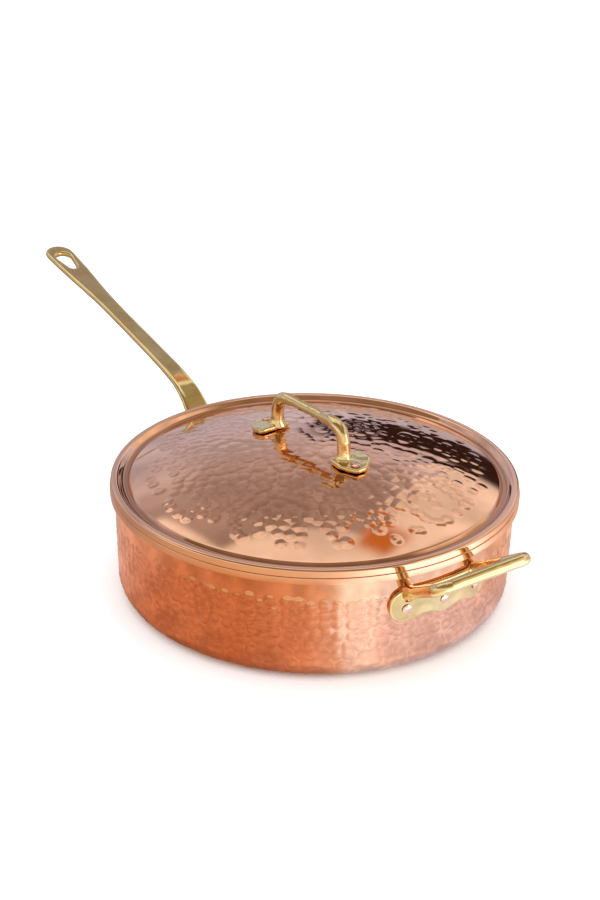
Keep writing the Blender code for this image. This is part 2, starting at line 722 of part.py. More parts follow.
pan_shell, pan_lining = build_pan()
lid_shell, lid_lining = build_lid()
root_trim = wall_trim()
long_handle = build_long_handle(root_trim)
helper_handle = build_helper_handle(root_trim)
lid_handle = build_lid_handle()
wall_rivets("handle", 0.0, (long_handle, pan_shell, pan_lining))
wall_rivets("helper", math.pi, (helper_handle, pan_shell, pan_lining))
lid_rivets((lid_handle, lid_shell, lid_lining))
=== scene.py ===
import math

import bmesh
import bpy
import numpy as np
from mathutils import Matrix, Vector, noise


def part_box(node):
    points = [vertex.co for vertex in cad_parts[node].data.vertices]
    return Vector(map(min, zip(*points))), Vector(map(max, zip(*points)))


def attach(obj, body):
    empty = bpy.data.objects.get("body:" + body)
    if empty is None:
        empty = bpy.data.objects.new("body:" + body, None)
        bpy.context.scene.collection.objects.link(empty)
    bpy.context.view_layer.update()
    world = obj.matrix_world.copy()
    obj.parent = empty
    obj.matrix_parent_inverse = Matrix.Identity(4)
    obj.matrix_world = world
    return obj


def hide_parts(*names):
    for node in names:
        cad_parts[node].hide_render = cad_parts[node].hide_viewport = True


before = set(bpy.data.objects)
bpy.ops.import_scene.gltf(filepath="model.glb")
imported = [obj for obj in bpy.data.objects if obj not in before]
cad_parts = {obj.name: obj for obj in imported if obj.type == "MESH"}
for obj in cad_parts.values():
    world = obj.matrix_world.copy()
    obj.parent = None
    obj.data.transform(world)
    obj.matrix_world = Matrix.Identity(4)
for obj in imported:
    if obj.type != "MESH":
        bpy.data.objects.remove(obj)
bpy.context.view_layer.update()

MM = 0.001
GAP = 0.3                   # left between pieces that touch
DEGREES = 180 / math.pi
WHITE = (1.0, 1.0, 1.0)

# Fineness of the meshes, in facets, degrees and millimetres
AROUND = 720                # facets round the pan and the lid
LINING_AROUND, RIVET_AROUND = 256, 40
ARC_STEP, COARSE_ARC_STEP, BAR_ARC_STEP = 9.0, 24.0, 6.0    # largest turn along a rounded corner
RIM_ARC_STEP = 22.0
WALL_STEP, BASE_STEP, RIM_STEP = 0.95, 16.0, 0.7
LID_STEP, LID_EDGE_STEP, COARSE_LID_STEP = 1.1, 0.8, 13.0
LOOP_STEP, BRIDGE_STEP, STRAP_STEP = 1.5, 1.2, 0.25
LID_HALVED = 46.0           # inside this radius the lid has half the facets
SHARP_ANGLE = 38.0          # edges turning more than this are shaded sharp
WELD = 0.000005             # in metres

# Hammer marks, in millimetres
WALL_DENT, LID_DENT = 0.42, 0.30    # base depths, each mark has 0.6 to 1.1 of one
SMOOTH_STRIP = 12.0         # without marks, under the rim
WALL_FIRST_ROW, WALL_ROW_PITCH = 5.0, 7.4
DENTED_LOW, DENTED_HIGH = 1.0, 0.8  # no dents below this height, or this close under the rim
DOME_INNER_END, DOME_THINNING, DOME_MARKS_END = 92.0, 22.0, 117.0
DOME_DENTED = 124.0         # no dents beyond this radius
MARK_EDGE_SHADE = (0.87, 0.79, 0.75)    # painted shade: the metal's colour is multiplied by this just inside a mark

# Sizes of the pan and its lid, in millimetres, as the CAD model has them
WALL_RADIUS, WALL_TAPER, BASE_CORNER = 140.0, 0.02, 13.0
RIM_WIDTH, RIM_UNDERSIDE, RIM_HEIGHT, RIM_ROUNDING = 3.5, 73.3, 5.1, 0.3
PAN_SHEET, LINING_SHEET, LID_SHEET = 2.0, 0.5, 1.2
RIM_TOP = RIM_UNDERSIDE + RIM_HEIGHT
RIM_RADIUS = WALL_RADIUS + RIM_WIDTH
LID_RADIUS = RIM_RADIUS - 0.7
LID_FOOT = RIM_TOP + GAP
LID_EDGE_FOOT = RIM_TOP + 0.05      # the lid's edge rests on the rim
BEAD_TOP = LID_FOOT + 5.3
BEAD_WIDTH = 4.8
TROUGH_DEPTH, TROUGH_INSET, TROUGH_WIDTH = 4.2, 11.6, 3.6
TROUGH_INNER = LID_RADIUS - TROUGH_INSET
# radii of a band of painted shade round the lid's groove
TROUGH_SHADE = (TROUGH_INNER - 1.0, TROUGH_INNER + 4.0)
EDGE_ROUNDING, TROUGH_ROUNDING, TROUGH_RISE_ROUNDING = 1.3, 1.2, 3.4
BEAD_INNER_ROUNDING, BEAD_OUTER_ROUNDING = 2.6, 2.0
LID_LINING_INSET = 5.2
DOME_EDGE = LID_RADIUS - 13.6
DOME_EDGE_HEIGHT = BEAD_TOP - 1.9
DOME_RISE = 22.8
DOME_SPHERE = (DOME_EDGE ** 2 + DOME_RISE ** 2) / (2 * DOME_RISE)
DOME_APEX = DOME_EDGE_HEIGHT + DOME_RISE
LID_TURN = 2.5

# Handles
FLANGE_TOP = RIM_UNDERSIDE - 8.8
FLANGE_HEIGHT, FLANGE_END, FLANGE_PITCH = 24.0, 29.0, 28.7
FLANGE_SCALLOP, FLANGE_THICKNESS, FLANGE_ROUNDING = 2.6, 3.0, 0.8
FLANGE_BOTTOM = FLANGE_TOP - FLANGE_HEIGHT
FLANGE_RIVETS = FLANGE_TOP - 14.3
HANDLE_LENGTH, HANDLE_ROOT = 260.0, FLANGE_TOP - 2.4
HANDLE_ROOT_ANGLE, HANDLE_GRIP_ANGLE, HANDLE_BEND = 60.0, 13.8, 36.6
HANDLE_ROOT_WIDTH, HANDLE_NECK_WIDTH, HANDLE_END_WIDTH = 27.0, 14.6, 23.6
HANDLE_ROOT_EASE, HANDLE_END_START = 28.0, 110.0
HANDLE_THICKNESS, HANDLE_ROUNDING = 5.0, 2.3
HOLE_OUTER, HOLE_INNER, HOLE_SETBACK, HOLE_LENGTH = 6.2, 3.4, 19.1, 25.5
LOOP_ROOT, LOOP_ROOT_HALF, LOOP_HALF, LOOP_REACH = FLANGE_TOP - 4.5, 27.0, 37.8, 49.3
LOOP_TILT, LOOP_CORNER, LOOP_BAR, LOOP_FLARE, LOOP_FLARE_LENGTH = 31.5, 7.5, 8.5, 1.3, 12.0
LOOP_SUNK = -1.0            # its ends start this far inside the wall's circle
BRIDGE_SHIFT, BRIDGE_SPAN, BRIDGE_HEIGHT, BRIDGE_CORNER = (4.3, 2.0), 73.6, 26.6, 12.0
BRIDGE_LEG, BRIDGE_BAR, BRIDGE_FLARE, BRIDGE_FLARE_LENGTH = 9.4, 7.2, 2.2, 4.5
FOOT_RIVET, FOOT_INNER, FOOT_OUTER, FOOT_SHOULDER = 12.5, -4.5, 19.0, 8.0
FOOT_WIDTH, FOOT_SKEW, FOOT_TOE_WIDTH, FOOT_TOE_SKEW = 27.5, 4.0, 9.0, 1.0
FOOT_CORNER, FOOT_SHOULDER_CORNER, FOOT_THICKNESS, FOOT_ROUNDING = 3.5, 6.0, 4.0, 1.4
RIVET_SHANK, RIVET_HEAD, RIVET_RISE, RIVET_TAIL, RIVET_TAIL_RISE = 4.4, 6.6, 1.2, 8.4, 1.5
RIVET_EDGE, RIVET_RINGS = 0.3, 8


def wall_radius(height):
    return WALL_RADIUS - WALL_TAPER * (RIM_UNDERSIDE - height)


def dome_height(radius):
    return DOME_APEX - DOME_SPHERE + math.sqrt(DOME_SPHERE ** 2 - radius ** 2)


def smooth_step(value):
    value = min(max(value, 0.0), 1.0)
    return value * value * (3.0 - 2.0 * value)


# ---- Paths

def rounded_path(corners, arc_step=ARC_STEP):
    """A path through corners (x, y, rounding radius), with arcs of facets at the corners."""
    points = [Vector(corner[:2]) for corner in corners]
    path = [points[0]]
    for before, here, after, corner in zip(points, points[1:], points[2:], corners[1:]):
        backward = (before - here).normalized()
        forward = (after - here).normalized()
        turn = math.pi - backward.angle(forward)
        setback = corner[2] * math.tan(turn / 2)
        bisector = (backward + forward).normalized()
        centre = here + bisector * (corner[2] / math.cos(turn / 2))
        start = here + backward * setback - centre
        end = here + forward * setback - centre
        steps = max(1, math.ceil(math.degrees(turn) / arc_step))
        sweep = start.angle_signed(end)
        for step in range(steps + 1):
            path.append(centre + Matrix.Rotation(-sweep * step / steps, 2) @ start)
    path.append(points[-1])
    return path


def offset_path(path, distance):
    """The path moved to its left by a distance."""
    normals = []
    for start, end in zip(path, path[1:]):
        along = (end - start).normalized()
        normals.append(Vector((-along.y, along.x)))
    moved = [path[0] + normals[0] * distance]
    for point, before, after in zip(path[1:], normals, normals[1:]):
        mitre = before + after
        moved.append(point + mitre * (2 * distance / mitre.length_squared))
    moved.append(path[-1] + normals[-1] * distance)
    return moved


def refined(path, step):
    """The path with extra points, so that no length of it is longer than a step."""
    fine = []
    for start, end in zip(path, path[1:]):
        count = max(1, math.ceil((end - start).length / step))
        fine += [start.lerp(end, i / count) for i in range(count)]
    return fine + [path[-1]]


def arc_points(centre, radius, start, end, step=5.0):
    steps = math.ceil((end - start) / step)
    angles = [math.radians(start + (end - start) * i / steps) for i in range(steps + 1)]
    return [(centre[0] + radius * math.cos(a), centre[1] + radius * math.sin(a)) for a in angles]


# ---- Hammer marks

def marks(rows, pitch, scatter, sizes, seed):
    """Hammer marks in jittered rows: (place along, place across, radius, relative depth).

    Each row is (place across the rows, its length, its share of marks kept).
    """
    random = np.random.RandomState(seed)
    found = []
    for across, length, kept in rows:
        count = max(3, int(round(length / pitch)))
        along = (np.arange(count) + random.rand()) * length / count
        row = np.stack([along + random.normal(0, scatter, count),
                        across + random.normal(0, scatter, count),
                        random.uniform(*sizes, count),
                        random.uniform(0.6, 1.1, count)], 1)
        found.append(row[random.rand(count) < kept])
    return np.concatenate(found)


def dented(places, centres, radii, depths):
    """Depth of overlapping round dents at each place: the deepest one wins."""
    depth = np.zeros(len(places))
    order = np.argsort(places[:, 0], kind="stable")
    sorted_x = places[order, 0]
    for centre, radius, deep in zip(centres, radii, depths):
        low = np.searchsorted(sorted_x, centre[0] - radius)
        high = np.searchsorted(sorted_x, centre[0] + radius)
        near = order[low:high]
        offset = places[near] - centre
        share = 1.0 - (offset ** 2).sum(1) / radius ** 2
        depth[near] = np.maximum(depth[near], deep * np.clip(share, 0.0, None))
    return depth


# ---- Objects

def add_piece(name, mesh, body, material, replaced):
    item = bpy.data.objects.new(name, mesh)
    bpy.context.scene.collection.objects.link(item)
    mesh.materials.clear()
    mesh.materials.append(material)
    mesh.shade_smooth()
    mesh.set_sharp_from_angle(angle=math.radians(SHARP_ANGLE))
    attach(item, body)
    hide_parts(*replaced)
    return item


def turned_mesh(name, profile, around=AROUND, dents=None, halved=0.0):
    """A solid of revolution from a closed profile whose two ends are on the axis.

    Rings nearer the axis than the halved radius, at the profile's start, have half the facets.
    """
    ring = np.array([(p[0], p[1]) for p in profile[1:-1]], float)
    inner = int(np.argmax(ring[:, 0] > halved)) if halved else 0
    counts = [around // 2 if row < inner else around for row in range(len(ring))]
    radius = np.repeat(ring[:, 0], counts)
    height = np.repeat(ring[:, 1], counts)
    angle = np.concatenate([np.arange(count) * 2 * math.pi / count for count in counts])
    normal = np.repeat(ring_normals(ring), counts, 0)
    depth = np.zeros(len(radius))
    if dents is not None:
        depth = dents(radius, height, angle)
        radius, height = radius - normal[:, 0] * depth, height - normal[:, 1] * depth
    points = np.stack([radius * np.cos(angle), radius * np.sin(angle), height], 1)
    points = np.concatenate([points, [[0, 0, profile[0][1]], [0, 0, profile[-1][1]]]]) * MM
    starts = np.concatenate([[0], np.cumsum(counts)])
    faces = []
    for row, (here, beyond) in enumerate(zip(counts, counts[1:])):
        one = starts[row] + np.arange(here)
        one_next = starts[row] + (np.arange(here) + 1) % here
        two = starts[row + 1] + np.arange(beyond)
        two_next = starts[row + 1] + (np.arange(beyond) + 1) % beyond
        if here == beyond:
            faces += np.stack([one, two, two_next, one_next], 1).tolist()
        else:
            even, odd = two[::2], two[1::2]
            faces += np.stack([one, even, odd], 1).tolist()
            faces += np.stack([one, odd, one_next], 1).tolist()
            faces += np.stack([one_next, odd, two_next[1::2]], 1).tolist()
    first, last = len(points) - 2, len(points) - 1
    one, two = np.arange(counts[0]), starts[-2] + np.arange(counts[-1])
    faces += np.stack([np.full(len(one), first), one, np.roll(one, -1)], 1).tolist()
    faces += np.stack([np.full(len(two), last), np.roll(two, -1), two], 1).tolist()
    mesh = bpy.data.meshes.new(name)
    mesh.from_pydata(points.tolist(), [], faces)
    hollow = mesh.attributes.new("hollow", "FLOAT", "POINT")
    hollow.data.foreach_set("value", np.append(depth, [0.0, 0.0]).astype(np.float32))
    mesh.update()
    return mesh


def ring_normals(ring):
    """Outward normals of a profile, from the points on both sides of each."""
    along = np.gradient(ring, axis=0)
    along /= np.maximum(np.linalg.norm(along, axis=1), 1e-9)[:, None]
    return np.stack([along[:, 1], -along[:, 0]], 1)


def wall_dents(radius, height, angle):
    """Rows of marks on the outside of the wall and a little way round its lower corner."""
    length = 2 * math.pi * WALL_RADIUS
    heights = np.arange(WALL_FIRST_ROW, RIM_UNDERSIDE - SMOOTH_STRIP, WALL_ROW_PITCH)
    rows = [(z, length, 1.0) for z in heights]
    found = marks(rows, 8.2, 1.05, (4.2, 5.2), 5)
    corner = wall_radius(0) - BASE_CORNER
    middle = wall_radius(height) - PAN_SHEET / 2
    low = np.hypot(radius - corner, BASE_CORNER - height) > BASE_CORNER - PAN_SHEET / 2
    outer = np.where(height > BASE_CORNER, radius > middle, low & (radius > corner))
    pick = outer & (height > DENTED_LOW) & (height < RIM_UNDERSIDE - DENTED_HIGH)
    places = np.stack([angle[pick] * WALL_RADIUS, height[pick]], 1)
    depth = np.zeros(len(radius))
    for shift in (-length, 0.0, length):
        shifted = dented(places, found[:, :2] + [shift, 0], found[:, 2], WALL_DENT * found[:, 3])
        depth[pick] = np.maximum(depth[pick], shifted)
    return depth


def dome_dents(radius, height, angle):
    """Rings of marks on the dome: close and uneven inside, then thinning to a smooth edge."""
    inner = [(r, 2 * math.pi * r, 1.0) for r in np.arange(4.0, DOME_INNER_END, 7.6)]
    outer = []
    for r in np.arange(DOME_INNER_END + 1.0, DOME_MARKS_END, 7.4):
        kept = 1.0 - 0.5 * smooth_step((r - DOME_INNER_END) / DOME_THINNING)
        outer.append((r, 2 * math.pi * r, kept))
    found = np.concatenate([marks(inner, 9.4, 1.4, (4.8, 6.6), 11),
                            marks(outer, 9.2, 1.2, (3.9, 5.0), 12)])
    turn = found[:, 0] / np.maximum(found[:, 1], 1.0)
    centres = np.stack([found[:, 1] * np.cos(turn), found[:, 1] * np.sin(turn)], 1)
    top = DOME_APEX - DOME_SPHERE + np.sqrt(DOME_SPHERE ** 2 - radius ** 2)
    pick = (radius < DOME_DENTED) & (height > top - LID_SHEET / 2)
    places = np.stack([radius[pick] * np.cos(angle[pick]),
                       radius[pick] * np.sin(angle[pick])], 1)
    depth = np.zeros(len(radius))
    depth[pick] = dented(places, centres, found[:, 2], LID_DENT * found[:, 3])
    return depth


# ---- Materials

def node(tree, kind, **values):
    item = tree.nodes.new(kind)
    for key, value in values.items():
        if key in item.inputs:
            item.inputs[key].default_value = value
        else:
            setattr(item, key, value)
    return item


class Nodes:
    """Short ways to add shader nodes to one tree."""

    def __init__(self, tree):
        self.tree = tree

    def add(self, kind, **values):
        return node(self.tree, kind, **values)

    def feed(self, socket, value):
        if isinstance(value, bpy.types.NodeSocket):
            self.tree.links.new(value, socket)
        elif isinstance(value, tuple):
            socket.default_value = (*value, 1)
        else:
            socket.default_value = value

    def maths(self, operation, *values):
        item = self.add("ShaderNodeMath", operation=operation)
        for socket, value in zip(item.inputs, values):
            self.feed(socket, value)
        return item.outputs[0]

    def above(self, value, edge, soft):
        item = self.add("ShaderNodeMapRange", interpolation_type="SMOOTHSTEP")
        self.feed(item.inputs["Value"], value)
        item.inputs["From Min"].default_value = edge - soft
        item.inputs["From Max"].default_value = edge + soft
        return item.outputs["Result"]

    def between(self, value, low, high, soft):
        return self.maths("MULTIPLY", self.above(value, low, soft),
                          self.maths("SUBTRACT", 1.0, self.above(value, high, soft)))

    def ramp(self, value, low, high, stops):
        """Colours at places from low to high."""
        item = self.add("ShaderNodeValToRGB")
        share = self.add("ShaderNodeMapRange")
        self.feed(share.inputs["Value"], value)
        share.inputs["From Min"].default_value = low
        share.inputs["From Max"].default_value = high
        self.feed(item.inputs["Fac"], share.outputs["Result"])
        elements = item.color_ramp.elements
        while len(elements) < len(stops):
            elements.new(0.5)
        for element, (place, colour) in zip(elements, stops):
            element.position = (place - low) / (high - low)
            element.color = (*colour, 1)
        return item.outputs["Color"]

    def mix(self, share, below, above, blend="MIX"):
        item = self.add("ShaderNodeMix", data_type="RGBA", blend_type=blend)
        item.clamp_result = False
        self.feed(item.inputs[0], share)
        self.feed(item.inputs[6], below)
        self.feed(item.inputs[7], above)
        return item.outputs[2]

    def azimuth(self, parts):
        """Azimuth in degrees from the outputs of a SeparateXYZ node."""
        angle = self.maths("ARCTAN2", parts.outputs["Y"], parts.outputs["X"])
        return self.maths("MULTIPLY", angle, DEGREES)

    def mottle(self, vector, scale, low, high, detail=2.0):
        """A grey that drifts between two values."""
        noise_ = self.add("ShaderNodeTexNoise", Scale=scale, Detail=detail, Roughness=0.5)
        self.feed(noise_.inputs["Vector"], vector)
        return self.ramp(noise_.outputs["Fac"], 0.0, 1.0,
                         [(0.36, (low,) * 3), (0.64, (high,) * 3)])


def metal(name, colours, roughness, grain, bump, patch_scale=22.0, groove=None, hammered=0.0):
    """Polished metal whose colour drifts in soft patches and whose polish varies finely.

    A groove (inner and outer radius) round the Z axis is darkened by painted shade. On hammered
    copper, given the depth of its marks, painted shade darkens each mark, most just inside its edge.
    """
    material = bpy.data.materials.new(name)
    material.use_nodes = True
    tree = material.node_tree
    shader = tree.nodes["Principled BSDF"]
    shader.inputs["Metallic"].default_value = 1.0
    place = node(tree, "ShaderNodeTexCoord")
    patches = node(tree, "ShaderNodeTexNoise", Scale=patch_scale, Detail=3.0, Roughness=0.55)
    ramp = node(tree, "ShaderNodeValToRGB")
    ramp.color_ramp.elements[0].position = 0.32
    ramp.color_ramp.elements[1].position = 0.68
    ramp.color_ramp.elements[0].color = (*colours[0], 1)
    ramp.color_ramp.elements[1].color = (*colours[1], 1)
    fine = node(tree, "ShaderNodeTexNoise", Scale=grain, Detail=4.0, Roughness=0.6)
    polish = node(tree, "ShaderNodeMapRange")
    polish.inputs["From Min"].default_value = 0.3
    polish.inputs["From Max"].default_value = 0.7
    polish.inputs["To Min"].default_value = roughness[0]
    polish.inputs["To Max"].default_value = roughness[1]
    relief = node(tree, "ShaderNodeBump", Strength=bump[0], Distance=bump[1])
    tree.links.new(place.outputs["Object"], patches.inputs["Vector"])
    tree.links.new(place.outputs["Object"], fine.inputs["Vector"])
    tree.links.new(patches.outputs["Fac"], ramp.inputs["Fac"])
    colour = ramp.outputs["Color"]
    nodes = Nodes(tree)
    if hammered:
        hollow = nodes.add("ShaderNodeAttribute", attribute_name="hollow")
        # painted shade in the hammer marks, darkest just inside each mark's edge
        shade = nodes.ramp(hollow.outputs["Fac"], 0.0, hammered, [
            (0.0, WHITE), (0.08 * hammered, (1.0, 0.98, 0.97)),
            (0.24 * hammered, MARK_EDGE_SHADE), (hammered, (0.97, 0.96, 0.95))])
        colour = nodes.mix(1.0, colour, shade, "MULTIPLY")
    if groove:
        flat = nodes.add("ShaderNodeVectorMath", operation="MULTIPLY")
        nodes.feed(flat.inputs[0], place.outputs["Object"])
        flat.inputs[1].default_value = (1, 1, 0)
        length = nodes.add("ShaderNodeVectorMath", operation="LENGTH")
        nodes.feed(length.inputs[0], flat.outputs[0])
        # painted shade: the groove is darkened towards a dark copper colour
        groove_shade = nodes.between(length.outputs["Value"], groove[0] * MM, groove[1] * MM, 1.0 * MM)
        colour = nodes.mix(groove_shade, colour, (0.50, 0.24, 0.13))
    tree.links.new(colour, shader.inputs["Base Color"])
    tree.links.new(fine.outputs["Fac"], polish.inputs["Value"])
    tree.links.new(polish.outputs["Result"], shader.inputs["Roughness"])
    tree.links.new(fine.outputs["Fac"], relief.inputs["Height"])
    tree.links.new(relief.outputs["Normal"], shader.inputs["Normal"])
    return material


COPPER_WALL = metal(
    "copper_wall", [(0.84, 0.44, 0.28), (0.90, 0.52, 0.34)],
    roughness=(0.05, 0.11), grain=260.0, bump=(0.10, 0.00006), hammered=WALL_DENT)
COPPER_LID = metal(
    "copper_lid", [(0.83, 0.46, 0.29), (0.88, 0.50, 0.31)],
    roughness=(0.04, 0.08), grain=220.0, bump=(0.06, 0.00004),
    groove=TROUGH_SHADE, hammered=LID_DENT)
TIN = metal(
    "tin_lining", [(0.60, 0.60, 0.58), (0.72, 0.72, 0.70)],
    roughness=(0.26, 0.40), grain=90.0, bump=(0.2, 0.0001))
BRASS = metal(
    "cast_brass", [(0.72, 0.52, 0.22), (0.84, 0.65, 0.32)],
    roughness=(0.06, 0.16), grain=150.0, bump=(0.12, 0.00012), patch_scale=40.0)
RIVET = metal(
    "rivet_copper", [(0.84, 0.50, 0.38), (0.90, 0.60, 0.48)],
    roughness=(0.12, 0.22), grain=400.0, bump=(0.15, 0.00006))


# ---- Pan body and lid

def build_pan():
    wall = rounded_path([
        (wall_radius(RIM_UNDERSIDE), RIM_UNDERSIDE, 0),
        (wall_radius(0), 0, BASE_CORNER),
        (0, 0, 0)])
    fine_wall = refined(wall[:-1], WALL_STEP) + refined(wall[-2:], BASE_STEP)[1:]
    inside = offset_path(wall, -PAN_SHEET)
    inside[-1].x = 0
    rim = rounded_path([
        (inside[0].x, inside[0].y, 0),
        (inside[0].x, RIM_TOP, RIM_ROUNDING),
        (RIM_RADIUS, RIM_TOP, RIM_ROUNDING),
        (RIM_RADIUS, RIM_UNDERSIDE, RIM_ROUNDING / 2),
        (wall[0].x, RIM_UNDERSIDE, 0)], RIM_ARC_STEP)
    profile = inside[:0:-1] + refined(rim, RIM_STEP) + fine_wall[1:]
    mesh = turned_mesh("pan_body", profile, dents=wall_dents)
    add_piece("pan_body", mesh, "pan", COPPER_WALL, ["pan_shell"])

    lining_outside = offset_path(wall, -PAN_SHEET - GAP)
    lining_inside = offset_path(wall, -PAN_SHEET - GAP - LINING_SHEET)
    for path in (lining_outside, lining_inside):
        path[0].y = RIM_TOP - RIM_ROUNDING
        path[-1].x = 0
    mesh = turned_mesh("pan_tin", lining_inside[::-1] + lining_outside, around=LINING_AROUND)
    add_piece("pan_tin", mesh, "pan", TIN, ["pan_lining"])


def lid_outside(step, arc_step=ARC_STEP):
    """Outside of the lid from the middle of the dome to the foot of its edge."""
    count = math.ceil(DOME_EDGE / step)
    dome = [Vector((DOME_EDGE * i / count, dome_height(DOME_EDGE * i / count)))
            for i in range(count)]
    trough = BEAD_TOP - TROUGH_DEPTH
    edge = rounded_path([
        (*dome[-3], 0),
        (DOME_EDGE, DOME_EDGE_HEIGHT, EDGE_ROUNDING),
        (TROUGH_INNER, trough, TROUGH_ROUNDING),
        (TROUGH_INNER + TROUGH_WIDTH, trough, TROUGH_RISE_ROUNDING),
        (LID_RADIUS - BEAD_WIDTH, BEAD_TOP, BEAD_INNER_ROUNDING),
        (LID_RADIUS, BEAD_TOP, BEAD_OUTER_ROUNDING),
        (LID_RADIUS, LID_EDGE_FOOT, 0)], arc_step)
    return [point for point in dome if point.x < edge[1].x - 0.3] + edge[1:]


def build_lid():
    outside = lid_outside(LID_STEP)
    outside = outside[:-2] + refined(outside[-2:], LID_EDGE_STEP)
    coarse = lid_outside(COARSE_LID_STEP, COARSE_ARC_STEP)
    inside = offset_path(coarse, -LID_SHEET)
    inside[0].x = 0
    mesh = turned_mesh("lid_copper", outside + inside[::-1], dents=dome_dents,
                       halved=LID_HALVED)
    mesh.transform(Matrix.Rotation(math.radians(LID_TURN), 4, "Z"))
    add_piece("lid_copper", mesh, "lid", COPPER_LID, ["lid_shell"])

    lined_to = DOME_EDGE - LID_LINING_INSET
    lined = [point for point in coarse if point.x < lined_to]
    lined.append(Vector((lined_to, dome_height(lined_to))))
    top = offset_path(lined, -LID_SHEET - GAP)
    under = offset_path(lined, -LID_SHEET - GAP - LINING_SHEET)
    top[0].x = under[0].x = 0
    mesh = turned_mesh("lid_tin", top + under[::-1], around=LINING_AROUND)
    add_piece("lid_tin", mesh, "lid", TIN, ["lid_lining"])


# ---- Cast handles: each is made flat or as a bar, bent into place, and its pieces then fused

def evaluated(item):
    """The item's mesh with its modifiers applied."""
    graph = bpy.context.evaluated_depsgraph_get()
    return bpy.data.meshes.new_from_object(item.evaluated_get(graph))


def curve_mesh(curve):
    """A curve as a closed mesh with its faces pointing out."""
    item = bpy.data.objects.new("curve", curve)
    bpy.context.scene.collection.objects.link(item)
    bpy.context.view_layer.update()
    mesh = evaluated(item)
    bpy.data.objects.remove(item)
    bpy.data.curves.remove(curve)
    work = bmesh.new()
    work.from_mesh(mesh)
    bmesh.ops.remove_doubles(work, verts=work.verts, dist=WELD)
    bmesh.ops.recalc_face_normals(work, faces=work.faces)
    work.to_mesh(mesh)
    work.free()
    return mesh


def slab_mesh(outlines, thickness, rounding):
    """A flat slab on the XY plane from an outline and its holes, with rounded edges."""
    curve = bpy.data.curves.new("outline", "CURVE")
    curve.dimensions = "2D"
    curve.fill_mode = "BOTH"
    curve.extrude = (thickness / 2 - rounding) * MM
    curve.bevel_depth = rounding * MM
    curve.bevel_resolution = 4
    curve.offset = -rounding * MM
    for outline in outlines:
        spline = curve.splines.new("POLY")
        spline.points.add(len(outline) - 1)
        for point, place in zip(spline.points, outline):
            point.co = (place[0] * MM, place[1] * MM, 0.0, 1.0)
        spline.use_cyclic_u = True
    mesh = curve_mesh(curve)
    mesh.transform(Matrix.Translation((0, 0, thickness / 2 * MM)))
    return mesh


def bar_mesh(points, radii):
    """A round bar along the points."""
    curve = bpy.data.curves.new("bar", "CURVE")
    curve.dimensions = "3D"
    curve.bevel_depth = MM
    curve.bevel_resolution = 10
    curve.use_fill_caps = True
    spline = curve.splines.new("POLY")
    spline.points.add(len(points) - 1)
    for point, place, radius in zip(spline.points, points, radii):
        point.co = (*(Vector(place) * MM), 1.0)
        point.radius = radius
    return curve_mesh(curve)


def fused(meshes, voxel, rounds):
    """The meshes as one closed skin of even small faces, eased where they meet."""
    work = bmesh.new()
    for mesh in meshes:
        work.from_mesh(mesh)
    joined = bpy.data.meshes.new("joined")
    work.to_mesh(joined)
    work.free()
    item = bpy.data.objects.new("joined", joined)
    bpy.context.scene.collection.objects.link(item)
    remesh = item.modifiers.new("skin", "REMESH")
    remesh.mode = "VOXEL"
    remesh.voxel_size = voxel * MM
    if rounds:
        ease = item.modifiers.new("ease", "SMOOTH")
        ease.factor = 0.5
        ease.iterations = rounds
    bpy.context.view_layer.update()
    mesh = evaluated(item)
    bpy.data.objects.remove(item)
    return mesh


def lumpy(mesh, cad_node, size, height):
    """Gives a casting its slight unevenness, without leaving the box of its CAD node."""
    low, high = (np.array(corner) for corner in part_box(cad_node))
    points = np.zeros(len(mesh.vertices) * 3)
    normals = np.zeros(len(mesh.vertices) * 3)
    mesh.vertices.foreach_get("co", points)
    mesh.vertices.foreach_get("normal", normals)
    points = points.reshape(-1, 3)
    swell = np.array([noise.noise(Vector(point) / (size * MM)) for point in points])
    points += normals.reshape(-1, 3) * ((swell - 0.35) * height * MM)[:, None]
    mesh.vertices.foreach_set("co", np.clip(points, low, high).ravel())
    mesh.update()
    return mesh


def moved(mesh, place):
    """The mesh with every point sent through a function of x, y, z in millimetres."""
    points = np.zeros(len(mesh.vertices) * 3)
    mesh.vertices.foreach_get("co", points)
    points = np.array([place(*point) for point in points.reshape(-1, 3) / MM]) * MM
    mesh.vertices.foreach_set("co", points.ravel())
    mesh.update()
    return mesh


def flange_mesh(azimuth):
    radius = FLANGE_HEIGHT / 2
    middle = FLANGE_BOTTOM + radius
    outline = arc_points((-FLANGE_END, middle), radius, 90, 270)
    for x in np.arange(-FLANGE_END + 1, FLANGE_END, 1.0):
        lobe = (1 - math.cos(2 * math.pi * x / FLANGE_PITCH)) / 2
        outline.append((x, FLANGE_BOTTOM + FLANGE_SCALLOP * lobe))
    outline += arc_points((FLANGE_END, middle), radius, -90, 90)

    def place(along, height, outwards):
        angle = azimuth + along / WALL_RADIUS
        reach = wall_radius(height) + GAP + outwards
        return reach * math.cos(angle), reach * math.sin(angle), height
    slab = fused([slab_mesh([outline], FLANGE_THICKNESS, FLANGE_ROUNDING)], voxel=0.5, rounds=0)
    return moved(slab, place)


def strap_tops():
    """Distance from the axis, height and slope of the strap's top face at every STRAP_STEP."""
    radius, height = WALL_RADIUS + GAP + FLANGE_THICKNESS / 2, HANDLE_ROOT
    root, grip = math.radians(HANDLE_ROOT_ANGLE), math.radians(HANDLE_GRIP_ANGLE)
    rows = []
    for index in range(round(HANDLE_LENGTH / STRAP_STEP) + 8):
        slope = grip + (root - grip) * math.exp(-((index * STRAP_STEP) / HANDLE_BEND) ** 2)
        rows.append((radius, height, slope))
        radius += STRAP_STEP * math.cos(slope)
        height += STRAP_STEP * math.sin(slope)
    return np.array(rows)


